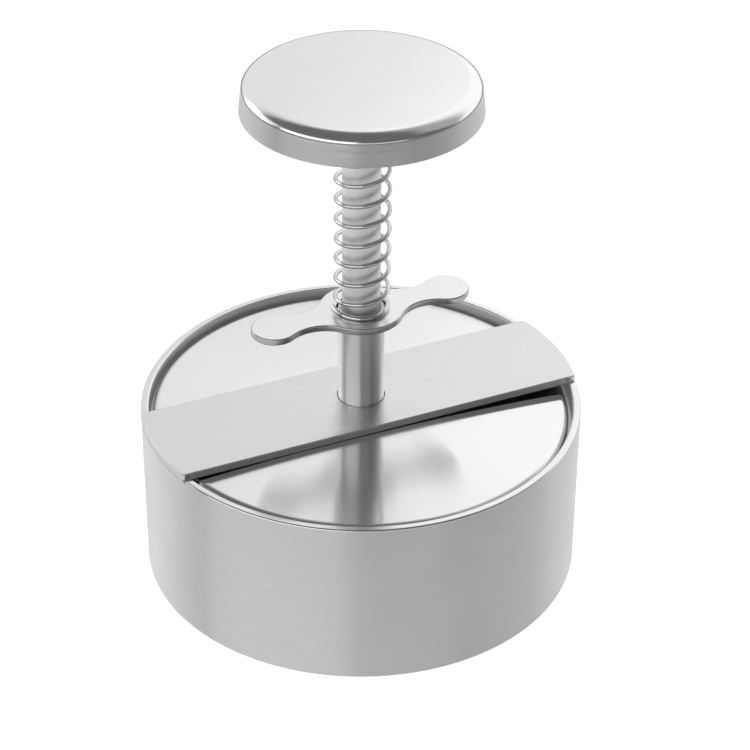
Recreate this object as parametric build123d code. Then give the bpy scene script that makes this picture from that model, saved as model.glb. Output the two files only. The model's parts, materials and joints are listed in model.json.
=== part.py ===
"""Hand patty press in stainless steel: a bottomless ring mould with a bridge bar across its rim,
a guide tube and a finger grip on the bar, and a spring-returned plunger with a palm knob on top
and a round press plate below.

Millimetres. The origin is the centre of the mould ring's lower edge, on the worktop. +Z is up,
and the bridge bar and the finger grip both lie along X. The plunger is drawn at rest, at the top
of its stroke.
"""
from math import cos, radians, sin, sqrt

from build123d import *
import os

# ---- driving dimensions ----

# mould ring
RING_OD = 115.0
RING_WALL = 2.0
RING_HEIGHT = 46.5
RIM_FILLET = 0.45

# bridge bar, let into shallow seats in the rim
BAR_WIDTH = 30.0
BAR_THICKNESS = 2.0
SEAT_DEPTH = 0.7
SEAT_SIDE_GAP = 1.1
BAR_CORNER_R = 1.0
BAR_EDGE_R = 0.25
BAR_HOLE_D = 12.4

# guide tube, standing on the bar
TUBE_OD = 12.0
TUBE_BORE = 9.95
TUBE_MOUTH_CHAMFER = 0.3

# finger grip: a hub and two lobes, joined by hollow-sided necks
GRIP_TOP_Z = 74.7
GRIP_THICKNESS = 1.8
GRIP_HUB_R = 11.0
GRIP_LOBE_R = 6.0
GRIP_LOBE_X = 24.0
GRIP_NECK_R = 10.0
GRIP_EDGE_R = 0.3

# plunger rod
ROD_D = 9.8
STUD_D = 6.0
STUD_LENGTH = 5.0
STUD_CHAMFER = 0.6

# palm knob: a drawn cap, a base disc inside it and a threaded boss
KNOB_D = 60.2
KNOB_RIM_Z = 131.6
KNOB_WALL_HEIGHT = 5.7
KNOB_DRAFT = 0.6
KNOB_SHOULDER_WIDTH = 3.6
KNOB_SHOULDER_RISE = 2.3
KNOB_CROWN = 0.3
KNOB_FLAT_R = 5.0
KNOB_SHEET = 1.2
BASE_RECESS = 0.4
BASE_THICKNESS = 1.2
BOSS_D = 14.0
BOSS_HEIGHT = 5.0

# washers under the knob
LOCK_WASHER_OD = 9.8
LOCK_WASHER_THICKNESS = 1.2
LOCK_WASHER_GAP = 0.8
SPRING_WASHER_OD = 15.6
SPRING_WASHER_ID = 10.3
SPRING_WASHER_THICKNESS = 0.8

# press plate: a dished upper shell closed by a flat pressing disc
PLATE_D = 109.0
PLATE_DEPTH = 6.0
PLATE_SHEET = 1.0
PLATE_FLAT_R = 11.0
PLATE_CROWN = 0.8
PLATE_EDGE_R = 2.0
PLATE_TILT = 0.5
PLATE_BAR_GAP = 0.2
DISC_THICKNESS = 1.5
SPACER_D = 20.0
SPIGOT_D = 7.0
SCREW_D = 5.0
SCREW_LENGTH = 14.0
SCREW_HEAD_D = 9.2
SCREW_SOCKET_AF = 3.0
SCREW_SOCKET_DEPTH = 1.6

# return spring
WIRE_D = 1.2
SPRING_OD = 14.7
CLOSED_TURNS = 1.25
CLOSED_PITCH = 1.25
ACTIVE_PITCH = 5.7
FRONT_CROSSING_Z = 113.66
FRONT_CROSSING_ANGLE = 245.7

# weld metal and fits
WELD = 0.5
TUBE_WELD = 0.8
FIT = 0.05

# ---- sizes worked out from the driving dimensions ----

RING_R = RING_OD / 2
RING_BORE_R = RING_R - RING_WALL
BAR_BOTTOM_Z = RING_HEIGHT - SEAT_DEPTH
BAR_TOP_Z = BAR_BOTTOM_Z + BAR_THICKNESS
GRIP_BOTTOM_Z = GRIP_TOP_Z - GRIP_THICKNESS
PLATE_TOP_Z = BAR_BOTTOM_Z - PLATE_BAR_GAP
PLATE_R = PLATE_D / 2
KNOB_R = KNOB_D / 2
BASE_BOTTOM_Z = KNOB_RIM_Z + BASE_RECESS
BASE_TOP_Z = BASE_BOTTOM_Z + BASE_THICKNESS
ROD_SHOULDER_Z = BASE_BOTTOM_Z - LOCK_WASHER_THICKNESS
SPRING_WASHER_TOP_Z = BASE_BOTTOM_Z - FIT
SPRING_WASHER_BOTTOM_Z = SPRING_WASHER_TOP_Z - SPRING_WASHER_THICKNESS
COIL_R = (SPRING_OD - WIRE_D) / 2
TAPPED_DEPTH = SCREW_LENGTH - PLATE_DEPTH + 1.0

# every piece of the press plate sits in this frame, slightly out of square with the rod
PLATE_FRAME = Location((0, 0, PLATE_TOP_Z), (0, PLATE_TILT, 0))


def disc(diameter, bottom, top):
    """A plain cylinder about Z from one height to another."""
    height = top - bottom
    return Pos(0, 0, bottom + height / 2) * Cylinder(diameter / 2, height)


def washer(outer, inner, bottom, top):
    """A flat ring about Z."""
    return disc(outer, bottom, top) - disc(inner, bottom - 1, top + 1)


def cone(lower_d, upper_d, bottom, top):
    """A cone frustum about Z, from one height to another."""
    height = top - bottom
    return Pos(0, 0, bottom + height / 2) * Cone(lower_d / 2, upper_d / 2, height)


# ---- weld seams, cut out of the pieces that they join ----

def bar_weld_seams():
    """One seam at each end of the bar, along its lower outer edge and flush with the ring."""
    low = BAR_BOTTOM_Z - WELD / 2
    seam_ring = washer(RING_OD, RING_OD - 2 * WELD, low, low + WELD)
    ends = Box(2 * RING_OD, BAR_WIDTH - 6 * BAR_CORNER_R, 4 * RING_HEIGHT)
    return seam_ring & ends


def tube_weld_seam():
    """A seam around the tube, ground flush with the bar's underside."""
    return washer(BAR_HOLE_D + 2 * WELD, TUBE_OD, BAR_BOTTOM_Z, BAR_BOTTOM_Z + TUBE_WELD)


def grip_weld_seam():
    """A seam around the tube's mouth, ground flush with the grip's top face."""
    return washer(TUBE_OD + 2 * WELD, TUBE_OD, GRIP_TOP_Z - WELD, GRIP_TOP_Z)


def knob_weld_seam():
    """A seam in the corner between the knob's base disc and its cap."""
    outer = 2 * knob_inner_r(BASE_RECESS + WELD)
    return washer(outer, outer - 2 * WELD, BASE_BOTTOM_Z, BASE_BOTTOM_Z + WELD)


def plate_weld_seam():
    """A seam where the pressing disc meets the shell's edge, flush with the pressing face."""
    inner_d = PLATE_D - 2 * PLATE_SHEET
    low = -PLATE_DEPTH
    return PLATE_FRAME * washer(inner_d + WELD, inner_d - WELD, low, low + WELD)


# ---- the mould frame ----

def mold_ring():
    """The bottomless ring, with rounded edges and two shallow seats for the bar."""
    wall = Pos(RING_BORE_R + RING_WALL / 2, RING_HEIGHT / 2) * Rectangle(RING_WALL, RING_HEIGHT)
    wall = fillet(wall.vertices(), RIM_FILLET)
    ring = revolve(Plane.XZ * wall, axis=Axis.Z)
    seat_width = BAR_WIDTH + 2 * SEAT_SIDE_GAP
    seats = Box(2 * RING_OD, seat_width, 2 * SEAT_DEPTH)
    return ring - Pos(0, 0, RING_HEIGHT) * seats - bar_weld_seams()


def cross_bar():
    """The bridge bar: ends cut to the ring's curve, corners rounded, a hole for the tube."""
    outline = Circle(RING_R) & Rectangle(2 * RING_OD, BAR_WIDTH)
    outline = fillet(outline.vertices(), BAR_CORNER_R)
    bar = extrude(outline, BAR_THICKNESS)
    bar = fillet(bar.faces().sort_by(Axis.Z)[-1].edges(), BAR_EDGE_R)
    bar = Pos(0, 0, BAR_BOTTOM_Z) * bar
    bar -= disc(BAR_HOLE_D, BAR_BOTTOM_Z - 1, BAR_TOP_Z + 1)
    return bar - bar_weld_seams() - tube_weld_seam()


def guide_tube():
    """The tube that guides the rod, from the bar's underside to the grip's top face."""
    tube = disc(TUBE_OD, BAR_BOTTOM_Z, GRIP_TOP_Z)
    tube -= disc(TUBE_BORE, BAR_BOTTOM_Z - 1, GRIP_TOP_Z + 1)
    mouth_d = TUBE_BORE + 2 * TUBE_MOUTH_CHAMFER
    lower = BAR_BOTTOM_Z + TUBE_MOUTH_CHAMFER
    upper = GRIP_TOP_Z - TUBE_MOUTH_CHAMFER
    tube -= cone(mouth_d, TUBE_BORE, BAR_BOTTOM_Z, lower)
    return tube - cone(TUBE_BORE, mouth_d, upper, GRIP_TOP_Z)


def grip_outline():
    """Hub and lobes, with a neck on each side whose hollow flanks touch both circles."""
    to_hub = GRIP_HUB_R + GRIP_NECK_R
    to_lobe = GRIP_LOBE_R + GRIP_NECK_R
    neck_x = (to_hub**2 - to_lobe**2 + GRIP_LOBE_X**2) / (2 * GRIP_LOBE_X)
    neck_y = sqrt(to_hub**2 - neck_x**2)
    hub_x = neck_x * GRIP_HUB_R / to_hub
    hub_y = neck_y * GRIP_HUB_R / to_hub
    lobe_x = GRIP_LOBE_X + (neck_x - GRIP_LOBE_X) * GRIP_LOBE_R / to_lobe
    lobe_y = neck_y * GRIP_LOBE_R / to_lobe
    outline = Circle(GRIP_HUB_R)
    for side in (-1, 1):
        corners = [(side * hub_x, hub_y), (side * lobe_x, lobe_y)]
        corners += [(side * lobe_x, -lobe_y), (side * hub_x, -hub_y)]
        outline += Pos(side * GRIP_LOBE_X, 0) * Circle(GRIP_LOBE_R)
        outline += make_face(Polyline(*corners, close=True))
    for side in (-1, 1):
        for flank in (-1, 1):
            outline -= Pos(side * neck_x, flank * neck_y) * Circle(GRIP_NECK_R)
    return outline


def finger_grip():
    """The plate that the fingers hook under, blanked from sheet, its edges broken."""
    plate = extrude(grip_outline(), GRIP_THICKNESS)
    rims = plate.faces().sort_by(Axis.Z)
    plate = fillet(rims[0].edges() + rims[-1].edges(), GRIP_EDGE_R)
    plate = Pos(0, 0, GRIP_BOTTOM_Z) * plate
    plate -= disc(TUBE_OD, GRIP_BOTTOM_Z - 1, GRIP_TOP_Z + 1)
    return plate - grip_weld_seam()


# ---- the plunger ----

def plunger_rod():
    """The rod: a stud for the knob on top, and below a spigot and a tapped hole for the plate."""
    rod = disc(ROD_D, PLATE_TOP_Z - 1, ROD_SHOULDER_Z)
    below = Pos(0, 0, -ROD_D) * Box(4 * ROD_D, 4 * ROD_D, 2 * ROD_D)
    rod -= PLATE_FRAME * below
    rod += PLATE_FRAME * disc(SPIGOT_D, -PLATE_SHEET, 0.5)
    rod -= PLATE_FRAME * disc(SCREW_D + FIT, -PLATE_SHEET - 1, TAPPED_DEPTH)
    stud_top = ROD_SHOULDER_Z + LOCK_WASHER_THICKNESS + STUD_LENGTH
    rod += disc(STUD_D, ROD_SHOULDER_Z - 0.5, stud_top - STUD_CHAMFER)
    return rod + cone(STUD_D, STUD_D - 2 * STUD_CHAMFER, stud_top - STUD_CHAMFER, stud_top)


def knob_inner_r(height):
    """The cap's inside radius at a height above its rim: the wall leans in by the draft."""
    return KNOB_R - KNOB_SHEET - KNOB_DRAFT * height / KNOB_WALL_HEIGHT


def knob_blank(inset):
    """The knob's outside, shrunk evenly by an inset: wall, oval shoulder and crowned top."""
    wall_r = KNOB_R - KNOB_DRAFT - inset
    wall_top = KNOB_WALL_HEIGHT
    shoulder_r = KNOB_R - KNOB_DRAFT - KNOB_SHOULDER_WIDTH
    shoulder_top = wall_top + KNOB_SHOULDER_RISE - inset
    crown_top = shoulder_top + KNOB_CROWN
    pull = 0.55
    bend = Bezier(
        (wall_r, wall_top),
        (wall_r, wall_top + pull * (shoulder_top - wall_top)),
        (shoulder_r + (1 - pull) * (wall_r - shoulder_r), shoulder_top),
        (shoulder_r, shoulder_top),
    )
    crown = TangentArc((KNOB_FLAT_R, crown_top), (shoulder_r, shoulder_top), tangent=(1, 0))
    closing = Polyline(
        (KNOB_FLAT_R, crown_top),
        (0, crown_top),
        (0, 0),
        (KNOB_R - inset, 0),
        (wall_r, wall_top),
    )
    outline = make_face(bend + crown + closing)
    return Pos(0, 0, KNOB_RIM_Z) * revolve(Plane.XZ * outline, axis=Axis.Z)


def knob_cap():
    """The drawn cap that the palm pushes on."""
    return knob_blank(0) - knob_blank(KNOB_SHEET)


def knob_base():
    """The disc that closes the cap, let in a little above its rim."""
    radius = knob_inner_r(BASE_RECESS + BASE_THICKNESS)
    base = disc(2 * radius, BASE_BOTTOM_Z, BASE_TOP_Z)
    base -= disc(STUD_D + 2 * FIT, BASE_BOTTOM_Z - 1, BASE_TOP_Z + 1)
    return base - knob_weld_seam()


def knob_boss():
    """The threaded boss on the base disc, inside the cap."""
    top = BASE_TOP_Z + BOSS_HEIGHT
    return washer(BOSS_D, STUD_D + 2 * FIT, BASE_TOP_Z, top - 1) + disc(BOSS_D, top - 1, top)


def lock_washer():
    """A split spring washer between the rod's shoulder and the knob."""
    ring = washer(LOCK_WASHER_OD, STUD_D + 4 * FIT, ROD_SHOULDER_Z, BASE_BOTTOM_Z)
    split = Pos(LOCK_WASHER_OD / 2, 0, BASE_BOTTOM_Z) * Rot(25, 0, 0)
    return ring - split * Box(LOCK_WASHER_OD, LOCK_WASHER_GAP, 4 * LOCK_WASHER_OD)


def plate_blank(inset):
    """The dished shell's outside, shrunk evenly by an inset."""
    edge_r = PLATE_R - inset
    corner_r = PLATE_EDGE_R - inset
    crown_r = (PLATE_R - PLATE_EDGE_R - PLATE_FLAT_R) ** 2 / (2 * PLATE_CROWN)
    top = -inset
    low = -PLATE_CROWN - inset
    flat = Line((0, top), (PLATE_FLAT_R, top))
    crown = TangentArc((PLATE_FLAT_R, top), (edge_r - corner_r, low), tangent=(1, 0))
    corner = ThreePointArc(
        (edge_r - corner_r, low),
        (edge_r - corner_r * (1 - sin(radians(45))), low - corner_r * (1 - cos(radians(45)))),
        (edge_r, low - corner_r),
    )
    closing = Polyline((edge_r, low - corner_r), (edge_r, -PLATE_DEPTH), (0, -PLATE_DEPTH), (0, top))
    outline = make_face(flat + crown + corner + closing)
    return revolve(Plane.XZ * outline, axis=Axis.Z)


def press_plate():
    """The polished upper shell of the press plate."""
    shell = plate_blank(0) - plate_blank(PLATE_SHEET)
    shell -= disc(SPIGOT_D + FIT, -2 * PLATE_SHEET, 1)
    return PLATE_FRAME * shell - plate_weld_seam()


def screw_blank(clearance):
    """The countersunk screw's outside, widened by a clearance, with its head at the bottom."""
    head_z = -PLATE_DEPTH
    head_height = (SCREW_HEAD_D - SCREW_D) / 2
    head = cone(SCREW_HEAD_D + clearance, SCREW_D + clearance, head_z, head_z + head_height)
    shank = disc(SCREW_D + clearance, head_z + head_height, head_z + SCREW_LENGTH)
    return head + shank


def pressing_disc():
    """The flat pressing face, countersunk for the screw."""
    plate = disc(PLATE_D - 2 * PLATE_SHEET, -PLATE_DEPTH, -PLATE_DEPTH + DISC_THICKNESS)
    return PLATE_FRAME * (plate - screw_blank(FIT)) - plate_weld_seam()


def plate_spacer():
    """The turned spacer that holds the shell and the pressing disc apart at the rod."""
    spacer = disc(SPACER_D, -PLATE_DEPTH + DISC_THICKNESS, -PLATE_SHEET)
    return PLATE_FRAME * (spacer - screw_blank(FIT))


def plate_screw():
    """The countersunk screw, driven by a hexagon socket."""
    hexagon = RegularPolygon(SCREW_SOCKET_AF / 2, 6, major_radius=False)
    socket = Pos(0, 0, -PLATE_DEPTH) * extrude(hexagon, SCREW_SOCKET_DEPTH)
    return PLATE_FRAME * (screw_blank(0) - socket)


# ---- the return spring and its washer ----

def helix_run(start_angle, start_z, pitch, turns):
    """One stretch of right-hand coil, from an angle in degrees and a height."""
    path = Helix(pitch=pitch, height=pitch * turns, radius=COIL_R)
    section = Plane(origin=path @ 0, z_dir=path % 0) * Circle(WIRE_D / 2)
    return Pos(0, 0, start_z) * Rot(0, 0, start_angle) * sweep(section, path=path, is_frenet=True)


def return_spring():
    """Closed end coils, and between them the active coils at an even pitch."""
    bottom_z = GRIP_TOP_Z + WIRE_D / 2 + FIT
    top_z = SPRING_WASHER_BOTTOM_Z - WIRE_D / 2 - FIT
    closed_rise = CLOSED_PITCH * CLOSED_TURNS
    active_rise = top_z - bottom_z - 2 * closed_rise
    active_turns = active_rise / ACTIVE_PITCH
    active_z = bottom_z + closed_rise
    turns_to_front = (FRONT_CROSSING_Z - active_z) / ACTIVE_PITCH
    active_angle = FRONT_CROSSING_ANGLE - 360 * turns_to_front
    spring = helix_run(active_angle - 360 * CLOSED_TURNS, bottom_z, CLOSED_PITCH, CLOSED_TURNS)
    spring += helix_run(active_angle, active_z, ACTIVE_PITCH, active_turns)
    upper_angle = active_angle + 360 * active_turns
    upper_z = active_z + active_rise
    spring += helix_run(upper_angle, upper_z, CLOSED_PITCH, CLOSED_TURNS)
    print("spring turns", round(active_turns + 2 * CLOSED_TURNS, 2))
    return spring


def spring_washer():
    """The flat washer that the spring's upper end bears on."""
    low = SPRING_WASHER_BOTTOM_Z
    return washer(SPRING_WASHER_OD, SPRING_WASHER_ID, low, SPRING_WASHER_TOP_Z)


PIECES = {
    "mold_ring": mold_ring,
    "cross_bar": cross_bar,
    "bar_weld_seams": bar_weld_seams,
    "guide_tube": guide_tube,
    "tube_weld_seam": tube_weld_seam,
    "finger_grip": finger_grip,
    "grip_weld_seam": grip_weld_seam,
    "return_spring": return_spring,
    "spring_washer": spring_washer,
    "plunger_rod": plunger_rod,
    "lock_washer": lock_washer,
    "knob_cap": knob_cap,
    "knob_base": knob_base,
    "knob_boss": knob_boss,
    "knob_weld_seam": knob_weld_seam,
    "press_plate": press_plate,
    "pressing_disc": pressing_disc,
    "plate_weld_seam": plate_weld_seam,
    "plate_spacer": plate_spacer,
    "plate_screw": plate_screw,
}

os.makedirs("parts", exist_ok=True)
for name, make in PIECES.items():
    export_step(make(), f"parts/{name}.step")
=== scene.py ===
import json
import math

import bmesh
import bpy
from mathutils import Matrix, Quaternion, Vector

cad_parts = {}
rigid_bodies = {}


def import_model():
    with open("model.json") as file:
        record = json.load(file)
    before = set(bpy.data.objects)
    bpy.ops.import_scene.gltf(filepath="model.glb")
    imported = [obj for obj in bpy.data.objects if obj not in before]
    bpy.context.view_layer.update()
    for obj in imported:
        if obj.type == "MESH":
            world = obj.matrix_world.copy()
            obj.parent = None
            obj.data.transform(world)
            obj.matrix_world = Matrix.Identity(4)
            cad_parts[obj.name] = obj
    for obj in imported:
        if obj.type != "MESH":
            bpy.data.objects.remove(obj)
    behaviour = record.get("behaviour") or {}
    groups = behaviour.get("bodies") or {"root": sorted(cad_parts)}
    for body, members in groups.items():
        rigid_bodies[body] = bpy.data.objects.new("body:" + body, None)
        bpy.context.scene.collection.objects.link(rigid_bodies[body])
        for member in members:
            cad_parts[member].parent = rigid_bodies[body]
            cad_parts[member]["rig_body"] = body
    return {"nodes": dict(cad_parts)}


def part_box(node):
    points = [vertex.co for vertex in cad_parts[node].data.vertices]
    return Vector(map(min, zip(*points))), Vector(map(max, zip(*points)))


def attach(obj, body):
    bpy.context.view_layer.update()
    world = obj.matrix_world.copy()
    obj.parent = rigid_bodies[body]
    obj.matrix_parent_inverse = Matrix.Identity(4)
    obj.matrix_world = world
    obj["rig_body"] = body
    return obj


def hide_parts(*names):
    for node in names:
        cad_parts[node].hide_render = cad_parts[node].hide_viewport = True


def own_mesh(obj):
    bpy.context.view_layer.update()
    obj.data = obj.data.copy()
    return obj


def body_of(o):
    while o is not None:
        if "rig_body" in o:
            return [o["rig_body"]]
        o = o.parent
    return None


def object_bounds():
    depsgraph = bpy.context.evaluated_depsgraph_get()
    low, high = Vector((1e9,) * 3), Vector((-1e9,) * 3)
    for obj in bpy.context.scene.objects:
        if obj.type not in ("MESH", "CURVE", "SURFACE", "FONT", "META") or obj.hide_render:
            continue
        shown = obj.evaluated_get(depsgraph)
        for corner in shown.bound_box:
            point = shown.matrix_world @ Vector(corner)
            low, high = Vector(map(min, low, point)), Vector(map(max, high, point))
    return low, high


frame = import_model()

# %% [markdown]
# # A stainless-steel patty press
#
# The press is a bottomless ring mould with a bar across its rim. A tube stands on the bar and
# guides a rod. The rod carries a palm knob on top and a round press plate below, and a coil
# spring lifts it again. Everything is bare stainless steel, so this lesson is about two things:
# clean round meshes, and telling one steel finish from another.
#
# The imported model already holds every piece at its real size, in metres. We keep its box now,
# before we add anything, and print its size.

MM = 0.001
cad_low, cad_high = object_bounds()
print("packed model, mm:", [round(size / MM, 1) for size in cad_high - cad_low])

# %% [markdown]
# ## The camera
#
# A long lens keeps a small round object from looking stretched. The camera stands on the left,
# well above the press, and looks down at the middle of the rim. Three plain numbers place it:
# the turn about the press, the height angle and the distance. A picture is seldom quite level,
# so a small roll about the line of sight tips the horizon by under half a degree.

# %% Directions round the press
VIEW_TURN = math.radians(-24.3)
VIEW_HEIGHT = math.radians(34.15)
VIEW_DISTANCE = 655.5 * MM


def direction(turn, height):
    """The unit vector from the press towards a turn about Z and an angle above the horizon."""
    flat = Vector((math.sin(turn), -math.cos(turn), 0)) * math.cos(height)
    return flat + Vector((0, 0, math.sin(height)))


ring_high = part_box("mold_ring")[1]
rim_centre = Vector((0, 0, ring_high.z))
to_camera = direction(VIEW_TURN, VIEW_HEIGHT)
to_right = direction(VIEW_TURN + math.radians(90), 0)
print("rim centre, mm:", [round(value / MM, 1) for value in rim_centre])

# %% Make the camera and aim it
LENS = 120.1
SENSOR_WIDTH = 36
NEAREST = 10 * MM
AIM_RIGHT = 3.65 * MM
AIM_UP = 6.05 * MM
VIEW_ROLL = math.radians(-0.41)

camera_data = bpy.data.cameras.new("camera")
camera_data.lens = LENS
camera_data.sensor_width = SENSOR_WIDTH
camera_data.clip_start = NEAREST
camera = bpy.data.objects.new("camera", camera_data)
bpy.context.scene.collection.objects.link(camera)
bpy.context.scene.camera = camera

aim = rim_centre + to_right * AIM_RIGHT + to_camera.cross(to_right) * AIM_UP
camera.location = rim_centre + to_camera * VIEW_DISTANCE
sight = (aim - camera.location).normalized()
camera.rotation_mode = "QUATERNION"
camera.rotation_quaternion = Quaternion(sight, VIEW_ROLL) @ sight.to_track_quat("-Z", "Y")
print("camera, mm:", [round(value / MM) for value in camera.location])

# %% [markdown]
# ## Two helpers for shaders
#
# Colours are written as sRGB hex values, the way a paint program shows them. Shaders add and
# multiply light, which is only right on linear values, so one function converts them. The other
# function adds a shader node, sets it up and connects it, all in one readable call.

# %% Colour and node helpers


def linear(hex_colour):
    """An sRGB hex colour as linear RGBA."""
    values = [int(hex_colour[i:i + 2], 16) / 255 for i in (1, 3, 5)]
    steps = [v / 12.92 if v <= 0.04045 else ((v + 0.055) / 1.055) ** 2.4 for v in values]
    return (*steps, 1)


def node(tree, kind, inputs=None, **settings):
    """Add a node. inputs gives a socket, by name or number, a value or another node's output."""
    made = tree.nodes.new("ShaderNode" + kind)
    for name, value in settings.items():
        setattr(made, name, value)
    for key, value in (inputs or {}).items():
        if isinstance(value, bpy.types.NodeSocket):
            tree.links.new(value, made.inputs[key])
        else:
            made.inputs[key].default_value = value
    return made


print("the middle grey #808080 is", round(linear("#808080")[0], 3), "of white as light")

# %% [markdown]
# ## The studio
#
# Polished steel has hardly any colour of its own: it shows the room. So the room is designed
# first. A product studio is a white table with large soft lamps. Most of them stand behind the
# press. The camera's side of the room is dark apart from two low lamps, because that dark is
# what draws the edges and the dark bands on the tubes.
#
# Area lights would do, but they stand near the press and light each piece differently. Here
# each lamp is a soft rectangle painted on the sky dome. A direction is divided by how far it
# goes towards the lamp, which lays it out flat as on a window, and the rectangle is drawn there.
# The lamps and the dark show only in the steel: where the camera looks past the table, it sees a
# white backdrop. The Light Path node tells a camera ray from all other rays.

# %% Paint the lamps on the sky dome
AMBIENT = 0.16
BACKDROP = 1.0
LAMPS = {
    # Turn from the camera, height, width, tall and soft edge in degrees, then the strength.
    "back_sheet": (180, 24, 150, 58, 20, 0.79),
    "right_sheet": (130, 28, 82, 78, 10, 0.29),
    "left_box": (-110, 14, 46, 40, 3, 0.90),
    "front_left_box": (-42, 17, 70, 32, 2, 1.60),
    "front_fill": (16, 7, 50, 20, 8, 0.60),
}


def lamp_glow(tree, where, turn, height, width, tall, soft, strength):
    """How bright one soft rectangle is in a direction."""
    lamp = direction(VIEW_TURN + math.radians(turn), math.radians(height))
    across = direction(VIEW_TURN + math.radians(turn + 90), 0)
    ahead = node(tree, "VectorMath", {0: where, 1: lamp}, operation="DOT_PRODUCT").outputs["Value"]
    glow = node(tree, "Math", {0: ahead, 1: 0.0}, operation="GREATER_THAN").outputs[0]
    for axis, spread in ((across, width), (lamp.cross(across), tall)):
        offset = {0: where, 1: axis}
        side = node(tree, "VectorMath", offset, operation="DOT_PRODUCT").outputs["Value"]
        flat = node(tree, "Math", {0: side, 1: ahead}, operation="DIVIDE").outputs[0]
        away = node(tree, "Math", {0: flat}, operation="ABSOLUTE").outputs[0]
        edges = [math.tan(math.radians(spread / 2 + step)) for step in (soft / 2, -soft / 2)]
        reach = {"Value": away, "From Min": edges[0], "From Max": edges[1]}
        inside = node(tree, "MapRange", reach, interpolation_type="SMOOTHSTEP").outputs[0]
        glow = node(tree, "Math", {0: glow, 1: inside}, operation="MULTIPLY").outputs[0]
    return node(tree, "Math", {0: glow, 1: strength}, operation="MULTIPLY").outputs[0]


# %% The dome and the backdrop


def studio():
    """A dark dome with the lamps on it. The camera itself sees a white backdrop instead."""
    world = bpy.data.worlds.new("studio")
    world.use_nodes = True
    tree = world.node_tree
    tree.nodes.clear()
    where = node(tree, "TexCoord").outputs["Generated"]
    total = AMBIENT
    for lamp in LAMPS.values():
        total = node(tree, "Math", {0: total, 1: lamp_glow(tree, where, *lamp)}).outputs[0]
    seen = node(tree, "LightPath").outputs["Is Camera Ray"]
    glow = node(tree, "Mix", {"Factor": seen, 2: total, 3: BACKDROP}).outputs[0]
    light = node(tree, "Background", {"Color": (1, 1, 1, 1), "Strength": glow})
    node(tree, "OutputWorld", {"Surface": light.outputs[0]})
    return world


bpy.context.scene.world = studio()
bpy.context.scene.view_settings.view_transform = "Standard"
print("lamps:", ", ".join(LAMPS))

# %% [markdown]
# The table is white paper. A camera set for bright steel overexposes it, so the picture has a
# clean white ground, but the steel itself must not see it that bright, and must see the dark
# room beyond the lit part. The same node is used again: camera rays get the full glow
# everywhere, and all other rays get less, fading out away from the brightest spot. The lamps
# stand behind the press, so that spot is a little behind it too.

# %% The white table
TABLE_HALF = 4.0
TABLE_GAP = 0.05 * MM
TABLE_EDGE = (0.26, 0.60)
SPOT_BEHIND = 160 * MM
BRIGHT_SPOT = direction(VIEW_TURN + math.pi, 0) * SPOT_BEHIND
GLOW_SEEN = 0.92
GLOW_REFLECTED = 0.58


def white_paper():
    """Matt white paper that glows evenly for the camera, and less for everything else."""
    material = bpy.data.materials.new("white_paper")
    material.use_nodes = True
    tree = material.node_tree
    tree.nodes.clear()
    where = node(tree, "TexCoord").outputs["Object"]
    apart = {0: where, 1: BRIGHT_SPOT}
    away = node(tree, "VectorMath", apart, operation="DISTANCE").outputs["Value"]
    reach = {"Value": away, "From Min": TABLE_EDGE[0], "From Max": TABLE_EDGE[1]}
    reach |= {"To Min": GLOW_REFLECTED, "To Max": 0.0}
    reflected = node(tree, "MapRange", reach, interpolation_type="SMOOTHSTEP").outputs[0]
    seen = node(tree, "LightPath").outputs["Is Camera Ray"]
    glow = node(tree, "Mix", {"Factor": seen, 2: reflected, 3: GLOW_SEEN}).outputs[0]
    paper = {"Base Color": linear("#B0B0B0"), "Roughness": 0.9, "Specular IOR Level": 0.1}
    paper |= {"Emission Color": (1, 1, 1, 1), "Emission Strength": glow}
    shader = node(tree, "BsdfPrincipled", paper)
    node(tree, "OutputMaterial", {"Surface": shader.outputs[0]})
    return material


table_mesh = bpy.data.meshes.new("table")
corners = [(x * TABLE_HALF, y * TABLE_HALF, 0) for x, y in ((-1, -1), (1, -1), (1, 1), (-1, 1))]
table_mesh.from_pydata(corners, [], [(0, 1, 2, 3)])
table_mesh.materials.append(white_paper())
table = bpy.data.objects.new("table", table_mesh)
table.location.z = cad_low.z - TABLE_GAP
bpy.context.scene.collection.objects.link(table)
print("table:", 2 * TABLE_HALF, "m wide, brightest", round(SPOT_BEHIND / MM), "mm behind the press")

# %% [markdown]
# ## How brushed steel works
#
# Brushing leaves thousands of parallel scratches. Along a scratch the steel is still smooth,
# but across it the surface is a tiny corrugation, so a reflection is smeared across the
# scratches and stays sharp along them. Three things together give that look:
#
# * anisotropy, which makes the highlight long in one direction
# * a noise texture stretched along the scratches, which moves the roughness up and down
# * the same noise as a very shallow bump, which breaks reflections into fine streaks
#
# Real brushing leaves its scratches some hundredths of a millimetre apart. That is too fine to
# show at this size, so the finishes with scratches draw them about half a millimetre apart.
#
# On round pieces the scratches run round the axis, so the texture is read in round coordinates:
# the direction from the axis changes slowly, and the distance across the scratches fast.

# %% Grain directions
RUN = 25 * MM


def grain_along_x(tree, spacing):
    """Scratches along X, about this far apart."""
    where = node(tree, "TexCoord").outputs["Object"]
    scale = (1 / RUN, 1 / spacing, 1 / spacing)
    return node(tree, "VectorMath", {0: where, 1: scale}, operation="MULTIPLY").outputs[0]


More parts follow.
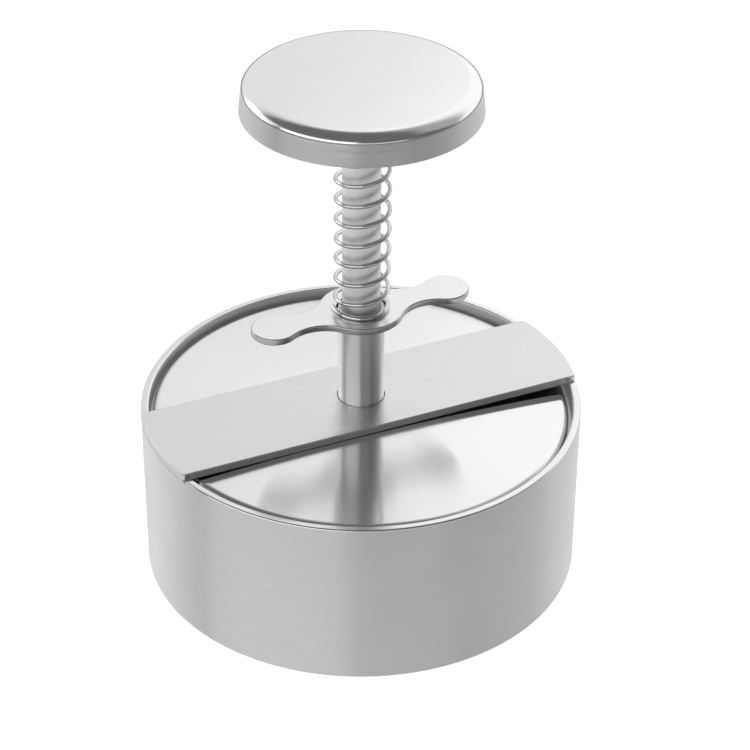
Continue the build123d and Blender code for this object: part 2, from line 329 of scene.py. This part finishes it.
def grain_around_z(tree, spacing):
    """Scratches round the Z axis, about this far apart on a wall or on a flat face."""
    where = node(tree, "TexCoord").outputs["Object"]
    flat = node(tree, "VectorMath", {0: where, 1: (1, 1, 0)}, operation="MULTIPLY").outputs[0]
    height = node(tree, "SeparateXYZ", {0: where}).outputs["Z"]
    radius = node(tree, "VectorMath", {0: flat}, operation="LENGTH").outputs["Value"]
    across = node(tree, "Math", {0: radius, 1: height}).outputs[0]
    steps = node(tree, "Math", {0: across, 1: 1 / spacing}, operation="MULTIPLY").outputs[0]
    turn = node(tree, "VectorMath", {0: flat}, operation="NORMALIZE").outputs[0]
    stack = node(tree, "CombineXYZ", {"Z": steps}).outputs[0]
    return node(tree, "VectorMath", {0: turn, 1: stack}).outputs[0]


print("a scratch changes along its length about every", round(RUN / MM), "mm")

# %% [markdown]
# One function builds every steel on the press. It starts from the common values of stainless
# steel: metallic 1, a light grey with no tint, and roughness from under 0.1 for bright wire to
# 0.5 for a dull satin. What changes from piece to piece is how the surface was made. A second,
# much larger noise stands for the faint smudges of handling, and takes a small share of both.

# %% The steel shader
ACROSS_THE_BRUSH = 0.25
SMUDGE_SIZE = 14 * MM
SMUDGE_SHARE = 0.3
NOISE_LOW, NOISE_HIGH = 0.3, 0.7


def stainless(name, colour, rough, swing, tone, stretch=0.0, grain=None, spacing=0.0, depth=0.0):
    """Stainless steel. Noise moves its roughness by swing and its shade by tone.

    With a grain the noise becomes scratches, this far apart and this deep. stretch smears
    reflections across the scratches of a round piece.
    """
    material = bpy.data.materials.new(name)
    material.use_nodes = True
    tree = material.node_tree
    tree.nodes.clear()
    where = node(tree, "TexCoord").outputs["Object"]
    smudge = node(tree, "TexNoise", {"Vector": where, "Scale": 1 / SMUDGE_SIZE, "Detail": 2.0})
    lines = smudge
    if grain:
        fine = {"Vector": grain(tree, spacing), "Scale": 1.0, "Detail": 4.0, "Roughness": 0.65}
        lines = node(tree, "TexNoise", fine)
    both = node(tree, "Mix", {"Factor": SMUDGE_SHARE, 2: lines.outputs[0], 3: smudge.outputs[0]})
    reach = {"Value": both.outputs[0], "From Min": NOISE_LOW, "From Max": NOISE_HIGH}
    rough_range = reach | {"To Min": rough - swing, "To Max": rough + swing}
    roughness = node(tree, "MapRange", rough_range).outputs[0]
    shades = node(tree, "MapRange", reach | {"To Min": 1 - tone, "To Max": 1 + tone / 2}).outputs[0]
    paint = {0: linear(colour)[:3], "Scale": shades}
    shade = node(tree, "VectorMath", paint, operation="SCALE").outputs[0]
    surface = {"Base Color": shade, "Metallic": 1.0, "Roughness": roughness}
    if depth:
        relief = {"Height": lines.outputs[0], "Strength": 1.0, "Distance": depth}
        surface["Normal"] = node(tree, "Bump", relief).outputs[0]
    if stretch:
        around = node(tree, "Tangent", direction_type="RADIAL", axis="Z").outputs[0]
        surface |= {"Anisotropic": stretch, "Tangent": around}
        surface["Anisotropic Rotation"] = ACROSS_THE_BRUSH
    shader = node(tree, "BsdfPrincipled", surface)
    node(tree, "OutputMaterial", {"Surface": shader.outputs[0]})
    print("steel:", name, "of roughness", rough)
    return material


# %% [markdown]
# ## Helpers for meshes
#
# Nearly every piece is round. A lathe helper turns an outline about Z and leaves clean quads,
# which keep a mirror-like surface free of the dents that long thin triangles can give. The
# outlines are only points where the shape needs them, with round stretches worked out by
# formula.

# %% Outline helpers


def arc(centre, radius, start, end, steps):
    """Points on a circle about a centre, from one angle to another in degrees."""
    points = []
    for i in range(steps + 1):
        angle = math.radians(start + (end - start) * i / steps)
        points.append((centre[0] + radius * math.cos(angle), centre[1] + radius * math.sin(angle)))
    return points


def bezier(a, b, c, d, steps):
    """Points on a cubic curve from a to d, pulled towards b and c."""
    points = []
    for i in range(steps + 1):
        t = i / steps
        weights = ((1 - t) ** 3, 3 * t * (1 - t) ** 2, 3 * t * t * (1 - t), t ** 3)
        points.append(tuple(sum(w * p[k] for w, p in zip(weights, (a, b, c, d))) for k in (0, 1)))
    return points


print("a quarter circle in 6 steps has", len(arc((0, 0), 1, 0, 90, 6)), "points")

# %% From loops of points to a mesh
SAME_SPOT = 1e-6 * MM


def skin(rings, closed, mesh=None):
    """Quads between rings of points. A ring that is all one point becomes one vertex."""
    mesh = mesh or bmesh.new()
    loops = []
    for ring in rings:
        if (ring[0] - ring[1]).length < SAME_SPOT:
            loops.append([mesh.verts.new(ring[0])] * len(ring))
        else:
            loops.append([mesh.verts.new(point) for point in ring])
    pairs = list(zip(loops, loops[1:])) + ([(loops[-1], loops[0])] if closed else [])
    for one, other in pairs:
        for i in range(len(one)):
            j = (i + 1) % len(one)
            corners = list(dict.fromkeys((one[i], one[j], other[j], other[i])))
            if len(corners) > 2:
                mesh.faces.new(corners)
    return mesh


# %% [markdown]
# Smooth shading blends the normals of neighbouring faces. Next to a small rounded edge that
# would bend the reflection over the whole of a large flat face. Two things prevent it: edges
# sharper than an angle are kept sharp, and a Weighted Normal modifier lets large faces decide.

# %% From a mesh to a piece on the press
SHARP_ANGLE = math.radians(32)


def even_shading(piece):
    """Smooth shading in which flat faces stay flat."""
    piece.data.shade_smooth()
    piece.data.set_sharp_from_angle(angle=SHARP_ANGLE)
    normals = piece.modifiers.new("large_faces_first", "WEIGHTED_NORMAL")
    normals.keep_sharp = True


def place(mesh, name, part, material, move=None):
    """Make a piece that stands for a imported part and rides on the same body."""
    bmesh.ops.recalc_face_normals(mesh, faces=mesh.faces)
    data = bpy.data.meshes.new(name)
    mesh.to_mesh(data)
    mesh.free()
    if move:
        data.transform(move)
    data.materials.append(material)
    piece = bpy.data.objects.new(name, data)
    bpy.context.scene.collection.objects.link(piece)
    even_shading(piece)
    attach(piece, body_of(frame["nodes"][part])[0])
    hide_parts(part)
    print(name, "stands for", part, "with", len(data.polygons), "faces")
    return piece


# %% A second finish, and the lathe
ROUND_STEPS = 240


def refinish(piece, material, chosen):
    """Give a second finish to the faces whose centre passes a test."""
    piece.data.materials.append(material)
    for face in piece.data.polygons:
        if chosen(face.center):
            face.material_index = len(piece.data.materials) - 1


def lathe(outline, steps=ROUND_STEPS):
    """Turn a closed outline of (radius, height) points about the Z axis."""
    rings = []
    for radius, height in outline:
        circle = arc((0, 0), max(radius, 0), 0, 360 * (1 - 1 / steps), steps - 1)
        rings.append([Vector((x, y, height)) for x, y in circle])
    return skin(rings, closed=True)


print("lathed pieces have", ROUND_STEPS, "steps round the axis")

# %% [markdown]
# ## The ring mould
#
# The ring is a length of tube, 115 mm across with a 2 mm wall, and its rims were rounded over
# on a belt. The outside was brushed round and round while it turned, which smears every
# reflection up and down: the wall shows the white table and the dark room mixed into one soft
# grey. The rims were buffed, so they catch sharp bright and dark lines instead. The bore was
# left a dull satin, so it shows no reflections, only light at the top and shade further down.
#
# Two shallow seats take the ends of the bar. A Boolean modifier cuts them, the way a milling
# cutter would. The cut has to come before the even shading, which is then made again.

# %% Brushed wall, buffed rim and satin bore
ring_brushed = stainless(
    "ring_brushed", "#DDDDDD", 0.40, 0.05, 0.05, 0.95, grain_around_z, 0.6 * MM, 0.008 * MM
)
rim_buffed = stainless("rim_buffed", "#DDDDDD", 0.15, 0.04, 0.02)
bore_satin = stainless("bore_satin", "#E6E6E6", 0.48, 0.05, 0.03)

# %% Turn the ring
WALL = 2.0 * MM
RIM_ROUND = 0.45 * MM
BORE_REACH = RIM_ROUND / 4

ring_r = ring_high.x
bore_r = ring_r - WALL
low_z, high_z = RIM_ROUND, ring_high.z - RIM_ROUND
ring_outline = arc((ring_r - RIM_ROUND, low_z), RIM_ROUND, -90, 0, 6)
ring_outline += arc((ring_r - RIM_ROUND, high_z), RIM_ROUND, 0, 90, 6)
ring_outline += arc((bore_r + RIM_ROUND, high_z), RIM_ROUND, 90, 180, 6)
ring_outline += arc((bore_r + RIM_ROUND, low_z), RIM_ROUND, 180, 270, 6)
ring_wall = place(lathe(ring_outline), "ring_wall", "mold_ring", ring_brushed)

# %% Make the seat cutter
SEAT_GAP = 1.1 * MM

bar_low, bar_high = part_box("cross_bar")
seat_half = bar_high.y + SEAT_GAP
seat_depth = ring_high.z - bar_low.z
cutter_mesh = bmesh.new()
bmesh.ops.create_cube(cutter_mesh, size=2)
cutter_data = bpy.data.meshes.new("seat_cutter")
cutter_mesh.to_mesh(cutter_data)
cutter_mesh.free()
cutter_data.transform(Matrix.Diagonal((2 * ring_r, seat_half, seat_depth, 1)))
cutter_data.transform(Matrix.Translation((0, 0, ring_high.z)))
cutter = bpy.data.objects.new("seat_cutter", cutter_data)
bpy.context.scene.collection.objects.link(cutter)
print("seats", round(2 * seat_half / MM, 1), "mm wide,", round(seat_depth / MM, 1), "mm deep")

# %% Cut the seats and buff the rims
ring_wall.modifiers.clear()
cut = ring_wall.modifiers.new("seats", "BOOLEAN")
cut.operation = "DIFFERENCE"
cut.solver = "EXACT"
cut.object = cutter
shapes = bpy.context.evaluated_depsgraph_get()
ring_wall.data = bpy.data.meshes.new_from_object(ring_wall.evaluated_get(shapes))
ring_wall.modifiers.clear()
bpy.data.objects.remove(cutter)
even_shading(ring_wall)
refinish(ring_wall, rim_buffed, lambda spot: not low_z < spot.z < high_z)
refinish(ring_wall, bore_satin, lambda spot: spot.xy.length < bore_r + BORE_REACH)
print("ring wall now has", len(ring_wall.data.polygons), "faces in three finishes")

# %% [markdown]
# ## Flat blanks: the bar and the finger grip
#
# Both are cut from sheet and have their edges broken, so both are an outline with a small
# round swept along its edges. The helper insets the outline step by step to make that round,
# skins the wall of the hole for the tube, and fills the two flat faces between the two loops.
# The fill may be any triangles at all, because a face that is truly flat shades the same.

# %% Blank helper
HOLE_STEPS = 96
LEVEL_WITHIN = 0.001 * MM


def inset(outline, amount):
    """Move each point of a counterclockwise outline inward by an amount."""
    moved = []
    for i, (x, y) in enumerate(outline):
        before, after = outline[i - 1], outline[(i + 1) % len(outline)]
        along = Vector((after[0] - before[0], after[1] - before[1])).normalized()
        moved.append((x - along.y * amount, y + along.x * amount))
    return moved


def blank(outline, hole_r, bottom, top, edge_low, edge_high, steps=5):
    """A plate between two heights, with a round hole and rounded outer edges."""
    levels = []
    for side, height, edge in ((-1, bottom, edge_low), (1, top, edge_high)):
        for i in range(steps + 1):
            angle = math.radians(90 * i / steps if side > 0 else 90 - 90 * i / steps)
            level = height - side * edge * (1 - math.sin(angle))
            levels.append((inset(outline, edge * (1 - math.cos(angle))), level))
    levels.sort(key=lambda pair: pair[1])
    hole = arc((0, 0), hole_r, 0, 360 * (1 - 1 / HOLE_STEPS), HOLE_STEPS - 1)
    mesh = skin([[Vector((x, y, z)) for x, y in loop] for loop, z in levels], closed=False)
    skin([[Vector((x, y, z)) for x, y in hole] for z in (bottom, top)], closed=False, mesh=mesh)
    for height in (bottom, top):
        open_edges = [edge for edge in mesh.edges if edge.is_boundary]
        loops = [e for e in open_edges if all(abs(v.co.z - height) < LEVEL_WITHIN for v in e.verts)]
        bmesh.ops.triangle_fill(mesh, edges=loops, normal=(0, 0, 1), use_beauty=True)
    return mesh


print("holes in blanks have", HOLE_STEPS, "steps")

# %% [markdown]
# The bridge bar is flat stock, 30 mm wide. It was brushed along its length with a coarse belt,
# so its scratches are the deepest and the clearest on the press. Its sides were only cut and
# deburred. They are nearly as bright as the top but have no lines, so they look plain.

# %% Brushed bar steel and its cut edge
bar_brushed = stainless(
    "bar_brushed", "#DADADA", 0.30, 0.08, 0.09, 0.0, grain_along_x, 0.50 * MM, 0.020 * MM
)
cut_edge = stainless("cut_edge", "#D8D8D8", 0.30, 0.05, 0.05)

# %% The bridge bar
BAR_CORNER = 1.0 * MM
BAR_EDGE = 0.25 * MM
BAR_STEPS = 60
TUBE_GAP = 0.35 * MM

bar_half = bar_high.y
tube_low, tube_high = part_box("guide_tube")
tube_r = tube_high.x
corner_turn = math.degrees(math.asin((bar_half - BAR_CORNER) / (ring_r - BAR_CORNER)))
corner_x = math.sqrt((ring_r - BAR_CORNER) ** 2 - (bar_half - BAR_CORNER) ** 2)
corner_y = bar_half - BAR_CORNER
half = arc((corner_x, -corner_y), BAR_CORNER, -90, -corner_turn, 6)
half += arc((0, 0), ring_r, -corner_turn, corner_turn, 40)[1:-1]
half += arc((corner_x, corner_y), BAR_CORNER, corner_turn, 90, 6)
half += [(corner_x * (1 - 2 * i / BAR_STEPS), bar_half) for i in range(1, BAR_STEPS)]
bar_outline = half + [(-x, -y) for x, y in half]
bar_mesh = blank(bar_outline, tube_r + TUBE_GAP, bar_low.z, bar_high.z, BAR_EDGE / 2, BAR_EDGE)
bridge_bar = place(bar_mesh, "bridge_bar", "cross_bar", bar_brushed)
refinish(bridge_bar, cut_edge, lambda spot: bar_low.z < spot.z < bar_high.z)

# %% [markdown]
# The finger grip is blanked from 1.8 mm sheet: a round hub and two lobes for the fingers, joined
# by hollow necks. Each neck circle touches the hub and a lobe, so its centre is where two
# distances meet: hub plus neck radius from the middle, and lobe plus neck radius from the lobe.
#
# Its faces are a fine satin, bright and nearly plain. The blank was tumbled to take the burr
# off, which left its sides smooth. Their darker colour is painted shade, so they draw a clean
# dark line round it.

# %% Satin grip steel and its edge in painted shade
grip_satin = stainless(
    "grip_satin", "#E4E4E4", 0.24, 0.04, 0.03, 0.0, grain_along_x, 0.5 * MM, 0.004 * MM
)
# The edge colour #BCBCBC is painted shade: darker than the faces, so the sides draw a dark line.
edge_painted_shade = stainless("edge_painted_shade", "#BCBCBC", 0.14, 0.04, 0.05)

# %% The finger grip
HUB_R = 11.0 * MM
NECK_R = 10.0 * MM
LOBE_R = 6.0 * MM
GRIP_EDGE = 0.3 * MM

grip_low, grip_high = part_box("finger_grip")
lobe_x = grip_high.x - LOBE_R
to_hub, to_lobe = HUB_R + NECK_R, LOBE_R + NECK_R
neck_x = (to_hub ** 2 - to_lobe ** 2 + lobe_x ** 2) / (2 * lobe_x)
neck_y = math.sqrt(to_hub ** 2 - neck_x ** 2)
hub_turn = math.degrees(math.atan2(neck_y, neck_x))
lobe_turn = math.degrees(math.atan2(neck_y, neck_x - lobe_x))
half = arc((neck_x, -neck_y), NECK_R, 180 - hub_turn, 180 - lobe_turn, 16)
half += arc((lobe_x, 0), LOBE_R, -lobe_turn, lobe_turn, 36)[1:-1]
half += arc((neck_x, neck_y), NECK_R, 180 + lobe_turn, 180 + hub_turn, 16)
half += arc((0, 0), HUB_R, hub_turn, 180 - hub_turn, 28)[1:-1]
grip_outline = half + [(-x, -y) for x, y in half]
grip_mesh = blank(grip_outline, tube_r, grip_low.z, grip_high.z, GRIP_EDGE, GRIP_EDGE)
finger_plate = place(grip_mesh, "finger_plate", "finger_grip", grip_satin)
refinish(finger_plate, edge_painted_shade, lambda spot: grip_low.z < spot.z < grip_high.z)

# %% [markdown]
# ## Tube and rod
#
# The guide tube is drawn tube, polished round and round with a belt. Round the tube a reflection
# stays sharp, but along it the fine scratches smear it out, so the room shows as long straight
# stripes: a light one, a dark one, a light one. The rod inside is ground to a duller satin that
# spreads light both ways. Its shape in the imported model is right, so it only gets that finish
# further down.

# %% Polished tube and satin rod steel
tube_polished = stainless(
    "tube_polished", "#E8E8E8", 0.44, 0.03, 0.02, 0.98, grain_around_z, 0.6 * MM, 0.002 * MM
)
# The rod's colour is painted lighter than the other steels: painted light against the shade that
# the spring and the knob cast on it.
rod_satin_painted_light = stainless(
    "rod_satin_painted_light", "#F4F4F4", 0.50, 0.06, 0.05, 0.0, grain_around_z, 0.6 * MM, 0.006 * MM
)

# %% The guide tube
BORE_R = 4.975 * MM
MOUTH_BEVEL = 0.3 * MM
LIP_BEVEL = 0.1 * MM

tube_outline = [
    (tube_r, tube_low.z),
    (tube_r, tube_high.z - LIP_BEVEL),
    (tube_r - LIP_BEVEL, tube_high.z),
    (BORE_R + MOUTH_BEVEL, tube_high.z),
    (BORE_R, tube_high.z - MOUTH_BEVEL),
    (BORE_R, tube_low.z + MOUTH_BEVEL),
    (BORE_R + MOUTH_BEVEL, tube_low.z),
]
place(lathe(tube_outline, 128), "polished_tube", "guide_tube", tube_polished)

# %% [markdown]
# ## The knob
#
# The palm knob is a cap drawn from sheet. Its top and its rounded shoulder were polished on a
# wheel, so the shoulder shows the lamps as sharp white strips with dark room between them. Its
# side was brushed. Both finishes are on one piece of steel, so it is one mesh with two
# materials, and the border between them is a ring of faces at the foot of the shoulder.

# %% Polished and brushed knob steel
knob_polished = stainless("knob_polished", "#E3E3E3", 0.16, 0.03, 0.01)
knob_brushed = stainless(
    "knob_brushed", "#DDDDDD", 0.30, 0.05, 0.08, 0.85, grain_around_z, 0.5 * MM, 0.008 * MM
)

# %% The knob's outline
KNOB_WALL = 5.7 * MM
KNOB_DRAFT = 0.6 * MM
SHOULDER_WIDTH = 3.6 * MM
SHOULDER_RISE = 2.3 * MM
KNOB_CROWN = 0.3 * MM
KNOB_SHEET = 1.2 * MM
PULL = 0.55

knob_low, knob_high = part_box("knob_cap")
knob_r = knob_high.x


def knob_outline(inward):
    """The cap's section from its rim to the middle of its crown, moved inward by an amount."""
    wall_r = knob_r - KNOB_DRAFT - inward
    wall_z = knob_low.z + KNOB_WALL
    top_r = knob_r - KNOB_DRAFT - SHOULDER_WIDTH
    top_z = wall_z + SHOULDER_RISE - inward
    first_pull = (wall_r, wall_z + PULL * (top_z - wall_z))
    last_pull = (top_r + (1 - PULL) * (wall_r - top_r), top_z)
    shoulder = bezier((wall_r, wall_z), first_pull, last_pull, (top_r, top_z), 14)
    crown_r = (top_r ** 2 + KNOB_CROWN ** 2) / (2 * KNOB_CROWN)
    crown_span = math.degrees(math.asin(top_r / crown_r))
    crown_centre = (0, top_z + KNOB_CROWN - crown_r)
    crown = arc(crown_centre, crown_r, 90 - crown_span, 90, 24)[1:]
    return [(knob_r - inward, knob_low.z)] + shoulder + crown


print("knob:", round(2 * knob_r / MM, 1), "mm across, outline of", len(knob_outline(0)), "points")

# %% The knob
cap_outline = knob_outline(0) + knob_outline(KNOB_SHEET)[::-1]
knob_shell = place(lathe(cap_outline), "knob_shell", "knob_cap", knob_brushed)
shoulder_z = knob_low.z + KNOB_WALL
refinish(knob_shell, knob_polished, lambda spot: spot.z > shoulder_z)

# %% [markdown]
# ## The press plate
#
# The round plate under the bar is a shallow dish turned upside down, polished with a wheel while
# it spun. Its scratches are so fine that it is nearly a mirror round the axis, but outward they
# smear everything into long rays. That is why the tube's reflection runs as a straight dark
# band all the way to the rim. The plate isn't quite square to the rod: the hole for its screw
# runs half a degree out, which opens a dark wedge under one end of the bar.

# %% Wheel-polished plate steel
plate_polished = stainless(
    "plate_polished", "#E4E4E4", 0.15, 0.02, 0.015, 1.0, grain_around_z, 0.6 * MM, 0.0006 * MM
)

# %% The press plate
PLATE_R = 54.5 * MM
PLATE_FLAT = 11.0 * MM
PLATE_CROWN = 0.8 * MM
PLATE_EDGE = 2.0 * MM
PLATE_DEPTH = 6.0 * MM
PLATE_SHEET = 1.0 * MM
PLATE_HOLE = 3.525 * MM
PLATE_TILT = math.radians(0.5)
PLATE_TO_BAR = 0.2 * MM


def plate_outline(inward):
    """The dish's section from its hole to its lower edge, moved inward by an amount."""
    edge = PLATE_EDGE - inward
    corner_r = PLATE_R - PLATE_EDGE
    span = corner_r - PLATE_FLAT
    crown_r = (span ** 2 + PLATE_CROWN ** 2) / (2 * PLATE_CROWN)
    slope = math.degrees(math.asin(span / crown_r))
    crown = arc((PLATE_FLAT, -crown_r - inward), crown_r, 90, 90 - slope, 24)
    corner = arc((corner_r, -PLATE_CROWN - PLATE_EDGE), edge, 90 - slope, 0, 8)
    return [(PLATE_HOLE, -inward)] + crown + corner + [(PLATE_R - inward, -PLATE_DEPTH)]


dish_outline = plate_outline(0) + plate_outline(PLATE_SHEET)[::-1]
tilt = Matrix.Translation((0, 0, bar_low.z - PLATE_TO_BAR)) @ Matrix.Rotation(PLATE_TILT, 4, "Y")
place(lathe(dish_outline), "press_dish", "press_plate", plate_polished, tilt)

# %% [markdown]
# ## The return spring
#
# The spring is 1.2 mm wire, wound right-handed on a mandrel. The wire was drawn bright, so it
# shows the room as thin sharp lines of light and dark. Its first and last turns lie nearly flat,
# and the coils between them climb evenly. One formula gives the height: a straight climb,
# with both ends eased off onto the grip and the washer. It is fixed by one coil at the front,
# whose turn and height are known. The spring also bows out a little at mid height, and the cut
# end of its wire stands out a little.
#
# The helper sweeps a round section along the path and keeps it square to the wire, with the
# direction out from the axis as its reference, so the wire never twists.

# %% Bright drawn wire
wire_polished = stainless("wire_polished", "#CACACA", 0.08, 0.03, 0.03)

# %% Sweep a round wire


def wire(path, radii, sides=16, mesh=None):
    """A round wire along a path that winds about the Z axis, closed at its ends."""
    rings = [[path[0]] * sides]
    for i, (point, radius) in enumerate(zip(path, radii)):
        along = (path[min(i + 1, len(path) - 1)] - path[max(i - 1, 0)]).normalized()
        out = Vector((point.x, point.y, 0))
        out = (out - along * out.dot(along)).normalized()
        side = along.cross(out)
        circle = arc((0, 0), radius, 0, 360 * (1 - 1 / sides), sides - 1)
        rings.append([point + out * x + side * y for x, y in circle])
    rings.append([path[-1]] * sides)
    return skin(rings, closed=False, mesh=mesh)


# %% Measures of the coil
WIRE_R = 0.6 * MM
COIL_PITCH = 5.7 * MM
COIL_START = math.radians(159)
COIL_TURNS = 11.1
EASE = 1.2 * MM
FRONT_COIL_Z = 113.66 * MM
FRONT_COIL_TURN = math.radians(245.7) + 7 * 2 * math.pi
BOW = 0.3 * MM
TAIL = 0.6 * MM
TAIL_TURNS = 1 / 8
STEPS_PER_TURN = 48

coil_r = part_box("return_spring")[1].x - WIRE_R
coil_low = grip_high.z + WIRE_R
coil_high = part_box("spring_washer")[0].z - WIRE_R


def eased(rise):
    """A rise that starts from nothing smoothly instead of at a corner."""
    if rise < -EASE:
        return 0
    return (rise + EASE) ** 2 / (4 * EASE) if rise < EASE else rise


coil_height = coil_high - coil_low
print("coil:", round(coil_height / MM, 1), "mm high,", round(coil_r / MM, 2), "mm in radius")

# %% The coil's path
coil_path = []
for i in range(round(COIL_TURNS * STEPS_PER_TURN) + 1):
    turn = COIL_START + 2 * math.pi * i / STEPS_PER_TURN
    climb = FRONT_COIL_Z + COIL_PITCH * (turn - FRONT_COIL_TURN) / (2 * math.pi)
    height = coil_low + eased(climb - coil_low) - eased(climb - coil_high)
    tail = TAIL * max(0, 1 - i / (TAIL_TURNS * STEPS_PER_TURN)) ** 2
    bow = to_right * BOW * math.sin(math.pi * (coil_high - height) / coil_height)
    spoke = Vector((math.cos(turn), math.sin(turn), 0)) * (coil_r + tail)
    coil_path.append(spoke + bow + Vector((0, 0, height)))
length = sum((b - a).length for a, b in zip(coil_path, coil_path[1:]))
print("spring:", COIL_TURNS, "turns,", round(length / MM), "mm of wire")

# %% [markdown]
# When the knob goes down the spring gets shorter. Here the part rides on the frame at its full
# height: its modifiers are cleared and it gets a mesh of its own.

spring_radii = [WIRE_R] * len(coil_path)
spring = place(
    wire(coil_path, spring_radii), "coil_spring", "return_spring", wire_polished
)
spring.modifiers.clear()
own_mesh(spring)

# %% [markdown]
# ## Weld beads
#
# A short bead joins each end of the bar to the ring. A bead is a row of overlapping puddles, so
# its thickness goes up and down a little, about every half millimetre. Weld metal is duller than
# the sheet and its shade is uneven, which is what the large swing and tone are for.

# %% Weld steel
weld_bead = stainless("weld_bead", "#C8C8C8", 0.34, 0.10, 0.10)

# %% The bead at each end of the bar
BEAD_R = 0.24 * MM
BEAD_RIPPLE = 0.04 * MM
PUDDLE = 0.55 * MM
BEAD_INSET = 0.14 * MM
BEAD_STEPS = 260
BEAD_SIDES = 12
BEAD_END = 3 * BAR_CORNER

bead_mesh = None
bead_turn = math.asin((bar_half - BEAD_END) / ring_r)
for end in (0, math.pi):
    path, radii = [], []
    for i in range(BEAD_STEPS + 1):
        turn = end + bead_turn * (2 * i / BEAD_STEPS - 1)
        spoke = Vector((math.cos(turn), math.sin(turn), 0)) * (ring_r - BEAD_INSET)
        path.append(spoke + Vector((0, 0, bar_low.z)))
        radii.append(BEAD_R + BEAD_RIPPLE * abs(math.sin(math.pi * turn * ring_r / PUDDLE)))
    bead_mesh = wire(path, radii, BEAD_SIDES, bead_mesh)
place(bead_mesh, "end_beads", "bar_weld_seams", weld_bead)

# %% [markdown]
# ## Finishes for the imported parts
#
# The other parts are right as they come from the imported model. They stay, and each gets the
# finish that it has on the bench: turned faces, with faint rings, on the washers, the discs, the
# boss, the spacer and the screw, and bare welds. The rod gets a satin whose colour is painted
# lighter, against the shade that the spring and the knob cast on it. Only the grip's weld was
# blended in, so it has the grip's satin.

# %% Turned steel, and which part gets what
turned_satin = stainless(
    "turned_satin", "#D9D9D9", 0.30, 0.05, 0.04, 0.7, grain_around_z, 0.5 * MM, 0.004 * MM
)
finishes = {
    "tube_weld_seam": weld_bead,
    "grip_weld_seam": grip_satin,
    "spring_washer": turned_satin,
    "plunger_rod": rod_satin_painted_light,
    "lock_washer": turned_satin,
    "knob_base": turned_satin,
    "knob_boss": turned_satin,
    "knob_weld_seam": weld_bead,
    "pressing_disc": turned_satin,
    "plate_weld_seam": weld_bead,
    "plate_spacer": turned_satin,
    "plate_screw": turned_satin,
}
for part_name, material in finishes.items():
    part = frame["nodes"][part_name]
    part.data.materials.clear()
    part.data.materials.append(material)
print(len(finishes), "packed parts refinished")
